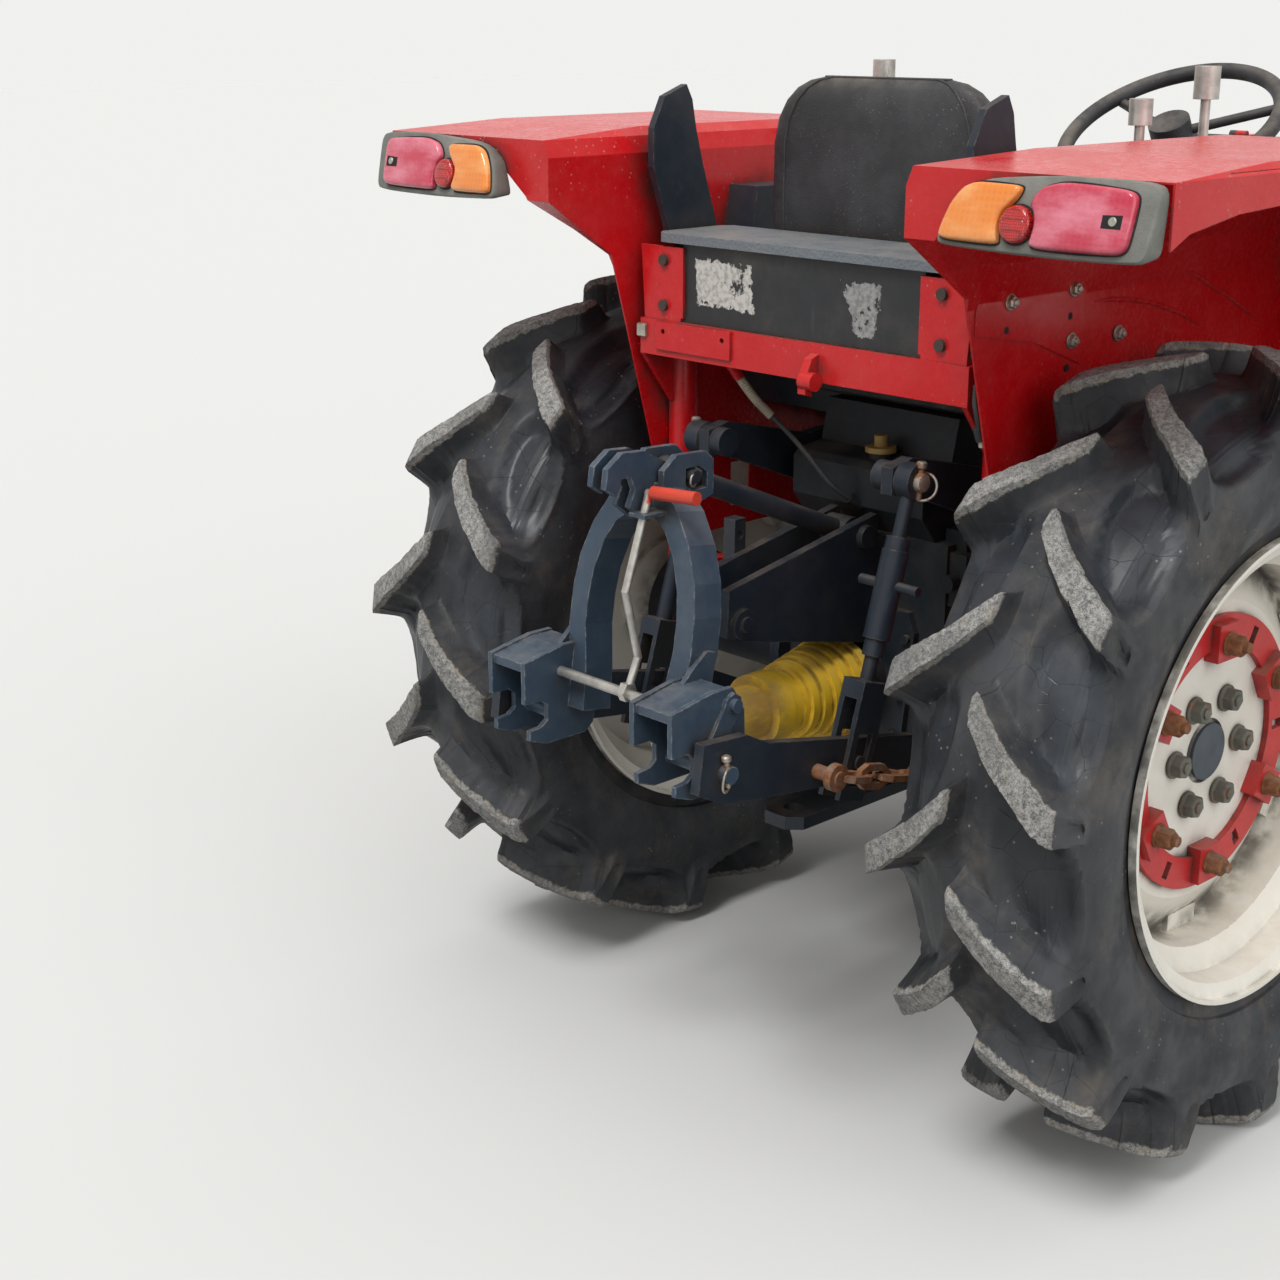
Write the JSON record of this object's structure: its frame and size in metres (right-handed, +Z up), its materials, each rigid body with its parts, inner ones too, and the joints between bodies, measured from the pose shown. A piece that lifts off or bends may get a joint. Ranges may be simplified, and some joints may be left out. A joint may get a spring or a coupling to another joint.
{
  "type": "farm tractor",
  "caption": "Compact four-wheel-drive farm tractor with a three-point hitch, quick coupler and guarded rear drive shaft.",
  "frame": {"origin": "ground level, under the middle of the overall length, on the centre plane", "axes": "+Z up; the tractor faces -Y, so +Y runs to its rear; its left side is +X"},
  "size_m": [1.38, 2.883, 1.4397],
  "materials": {
    "red_paint": "worn gloss paint with scratches and dust",
    "navy_paint": "worn dark blue paint with dust",
    "blue_grey_paint": "worn paint",
    "cream_paint": "worn gloss paint",
    "black_paint": "scuffed satin paint",
    "grey_panel": "hammered grey paint",
    "steel": "dull steel with light rust",
    "rusty_steel": "rusty steel",
    "tyre": "worn, dusty rubber",
    "yellow_guard": "dirty plastic",
    "black_plastic": "textured plastic",
    "lamp_lens": "red and orange lens",
    "clear_lens": "headlamp lens"
  },
  "bodies": {
    "chassis": {"engine_block": "navy_paint", "transmission_case": "navy_paint", "rear_axle_housing": "navy_paint", "front_frame": "navy_paint", "axle_hanger": "navy_paint", "front_axle": "navy_paint", "floor": "navy_paint", "dashboard": "black_plastic", "side_covers": "red_paint", "grille": "black_plastic", "headlamps": "clear_lens", "fender_left": "red_paint", "fender_right": "red_paint", "tail_lamp_left": "lamp_lens", "tail_lamp_right": "lamp_lens", "rear_frame": "red_paint", "rear_panel": "black_paint", "tray": "grey_panel", "seat": "black_plastic", "consoles": "navy_paint", "controls": "steel", "top_link_bracket": "navy_paint", "hitch_cable": "black_plastic", "shaft_guard": "yellow_guard", "drawbar": "navy_paint"},
    "hood_lid": {"hood": "red_paint"},
    "rear_wheel_left": {"rear_tyre_left": "tyre", "rear_rim_left": "cream_paint", "rear_ring_left": "red_paint"},
    "rear_wheel_right": {"rear_tyre_right": "tyre", "rear_rim_right": "cream_paint", "rear_ring_right": "red_paint"},
    "front_wheel_left": {"front_tyre_left": "tyre", "front_rim_left": "cream_paint"},
    "front_wheel_right": {"front_tyre_right": "tyre", "front_rim_right": "cream_paint"},
    "steering_knuckle_left": {"knuckle_left": "navy_paint"},
    "steering_knuckle_right": {"knuckle_right": "navy_paint"},
    "track_rod": {"tie_rod": "steel"},
    "steering": {"steering_wheel": "black_plastic"},
    "links": {"lower_links": "navy_paint", "check_chains": "rusty_steel"},
    "quick_coupler": {"coupler": "blue_grey_paint", "release_rod": "steel"},
    "arms": {"lift_arms": "navy_paint"},
    "rods": {"lift_rods": "navy_paint"},
    "upper_link": {"top_link": "navy_paint"},
    "rear_shaft": {"drive_shaft": "steel"}
  },
  "joints": [
    {"name": "rear_wheel_left_spin", "type": "hinge", "parent": "chassis", "child": "rear_wheel_left", "pos_m": [0.518, 0.7705, 0.55], "axis": [1, 0, 0], "continuous": true},
    {"name": "rear_wheel_right_spin", "type": "hinge", "parent": "chassis", "child": "rear_wheel_right", "pos_m": [-0.518, 0.7705, 0.55], "axis": [1, 0, 0], "continuous": true},
    {"name": "steer_left", "type": "hinge", "parent": "chassis", "child": "steering_knuckle_left", "pos_m": [0.392, -0.8295, 0.37], "axis": [0, 0, 1], "range_deg": [-40, 40]},
    {"name": "steer_right", "type": "hinge", "parent": "chassis", "child": "steering_knuckle_right", "pos_m": [-0.392, -0.8295, 0.37], "axis": [0, 0, 1], "range_deg": [-40.2, 40.2]},
    {"name": "front_wheel_left_spin", "type": "hinge", "parent": "steering_knuckle_left", "child": "front_wheel_left", "pos_m": [0.52, -0.8295, 0.37], "axis": [1, 0, 0], "continuous": true},
    {"name": "front_wheel_right_spin", "type": "hinge", "parent": "steering_knuckle_right", "child": "front_wheel_right", "pos_m": [-0.52, -0.8295, 0.37], "axis": [1, 0, 0], "continuous": true},
    {"name": "track_rod_pivot", "type": "hinge", "parent": "steering_knuckle_left", "child": "track_rod", "pos_m": [0.392, -0.7095, 0.37], "axis": [0, 0, 1], "range_deg": [-40.2, 40.2]},
    {"name": "steering_wheel_turn", "type": "hinge", "parent": "chassis", "child": "steering", "pos_m": [0, 0.1305, 1.33], "axis": [0, 0.5, 0.866], "range_deg": [-402, 402]},
    {"name": "hood_open", "type": "hinge", "parent": "chassis", "child": "hood_lid", "pos_m": [0, -0.2885, 1.3], "axis": [-1, 0, 0], "range_deg": [0, 50]},
    {"name": "links_lift", "type": "hinge", "parent": "chassis", "child": "links", "pos_m": [0, 0.7305, 0.43], "axis": [1, 0, 0], "range_deg": [-12, 14]},
    {"name": "coupler_tilt", "type": "hinge", "parent": "links", "child": "quick_coupler", "pos_m": [0, 1.3725, 0.584], "axis": [1, 0, 0], "range_deg": [-9.26, 7.96]},
    {"name": "arms_lift", "type": "hinge", "parent": "chassis", "child": "arms", "pos_m": [0, 0.7705, 0.852], "axis": [1, 0, 0], "range_deg": [-17.68, 20.6]},
    {"name": "rods_swing", "type": "hinge", "parent": "arms", "child": "rods", "pos_m": [0, 1.0105, 0.908], "axis": [1, 0, 0], "range_deg": [-20.89, 17.94]},
    {"name": "upper_link_swing", "type": "hinge", "parent": "chassis", "child": "upper_link", "pos_m": [0, 0.9205, 0.786], "axis": [1, 0, 0], "range_deg": [-21.67, 25.25]},
    {"name": "rear_shaft_spin", "type": "hinge", "parent": "chassis", "child": "rear_shaft", "pos_m": [0, 0.9205, 0.55], "axis": [0, 1, 0], "continuous": true}
  ],
  "couplings": [
    {"joint": "steer_right", "follows": "steer_left", "ratio": 1},
    {"joint": "track_rod_pivot", "follows": "steer_left", "ratio": -1},
    {"joint": "steering_wheel_turn", "follows": "steer_left", "ratio": 10},
    {"joint": "coupler_tilt", "follows": "links_lift", "ratio": -0.647},
    {"joint": "arms_lift", "follows": "links_lift", "ratio": 1.457},
    {"joint": "rods_swing", "follows": "links_lift", "ratio": -1.478},
    {"joint": "upper_link_swing", "follows": "links_lift", "ratio": 1.789}
  ]
}
